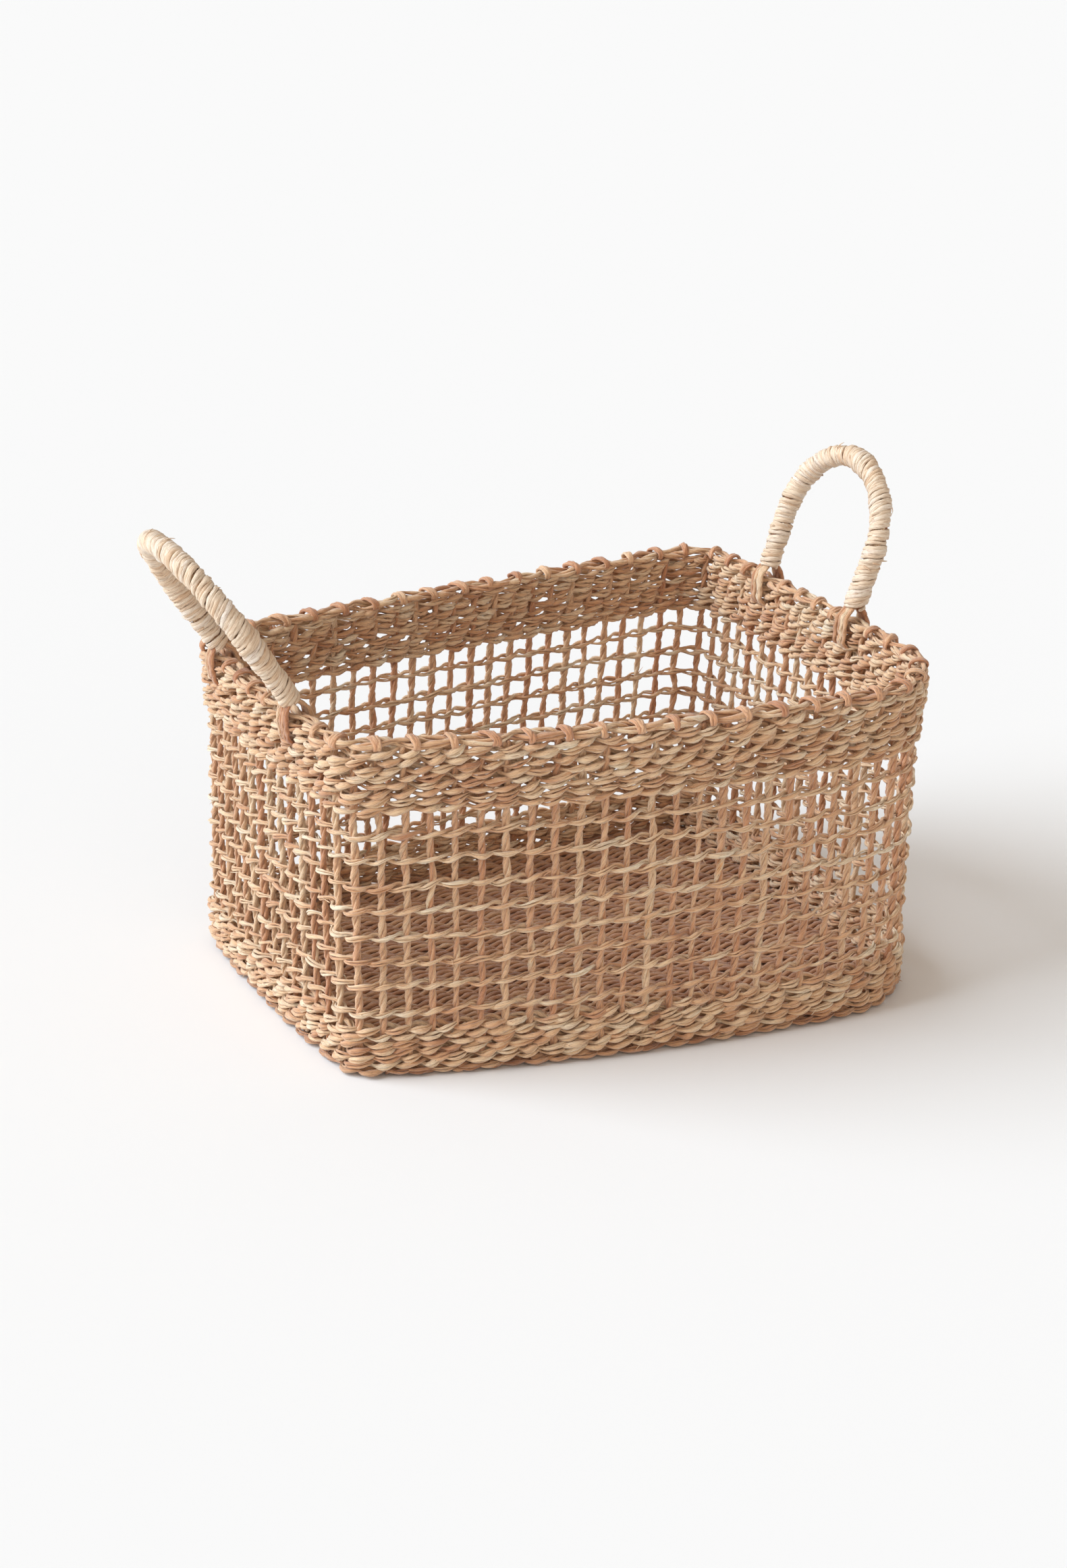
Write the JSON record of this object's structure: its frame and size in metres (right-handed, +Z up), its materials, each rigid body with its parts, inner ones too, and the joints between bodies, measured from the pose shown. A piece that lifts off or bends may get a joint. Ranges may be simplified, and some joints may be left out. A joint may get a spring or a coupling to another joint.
{
  "type": "seagrass storage basket",
  "caption": "Open-weave rectangular seagrass basket with dense twined bands at rim and foot and a wrapped arch handle on each short side.",
  "frame": {"origin": "on the underside of the base, at the middle of the wall's plan", "axes": "+X along the long side towards the wider end, -Y is the front wall, +Z up"},
  "size_m": [0.5198, 0.35, 0.3334],
  "materials": {
    "weft_cord": "matte twisted seagrass, tan to straw, fibrous",
    "stake_cord": "matte two-ply twisted seagrass, reddish tan",
    "rim_knot": "matte seagrass strand ends, reddish tan",
    "base_weave": "matte dense twined seagrass, tan",
    "handle_core": "matte seagrass cords, reddish tan",
    "handle_wrap": "pale straw strand wrap, matte with a slight sheen"
  },
  "bodies": {
    "basket": {"base_panel": "base_weave", "lower_band_row_1": "weft_cord", "lower_band_row_2": "weft_cord", "lower_band_row_3": "weft_cord", "lower_band_row_4": "weft_cord", "lower_band_row_5": "weft_cord", "lower_band_row_6": "weft_cord", "lattice_row_1": "weft_cord", "lattice_row_2": "weft_cord", "lattice_row_3": "weft_cord", "lattice_row_4": "weft_cord", "lattice_row_5": "weft_cord", "lattice_row_6": "weft_cord", "lattice_row_7": "weft_cord", "lattice_row_8": "weft_cord", "upper_band_row_1": "weft_cord", "upper_band_row_2": "weft_cord", "upper_band_row_3": "weft_cord", "upper_band_row_4": "weft_cord", "upper_band_row_5": "weft_cord", "upper_band_row_6": "weft_cord", "upper_band_row_7": "weft_cord", "upper_band_row_8": "weft_cord", "rim_cord": "weft_cord", "stakes_front": "stake_cord", "stakes_right": "stake_cord", "stakes_back": "stake_cord", "stakes_left": "stake_cord", "rim_knots_front": "rim_knot", "rim_knots_right": "rim_knot", "rim_knots_back": "rim_knot", "rim_knots_left": "rim_knot", "left_handle_tie_front": "handle_core", "left_handle_tie_back": "handle_core", "right_handle_tie_front": "handle_core", "right_handle_tie_back": "handle_core"},
    "left_handle": {"left_handle_core": "handle_core", "left_handle_wrap": "handle_wrap"},
    "right_handle": {"right_handle_core": "handle_core", "right_handle_wrap": "handle_wrap"}
  },
  "joints": [
    {"name": "left_handle_tilt", "type": "hinge", "parent": "basket", "child": "left_handle", "pos_m": [-0.20615, 0.00675, 0.2293], "axis": [0.0534, -0.9986, 0], "range_deg": [-48, 11]},
    {"name": "right_handle_tilt", "type": "hinge", "parent": "basket", "child": "right_handle", "pos_m": [0.20085, 0.01906, 0.2293], "axis": [-0.0708, 0.9975, 0], "range_deg": [-35, 23]}
  ]
}
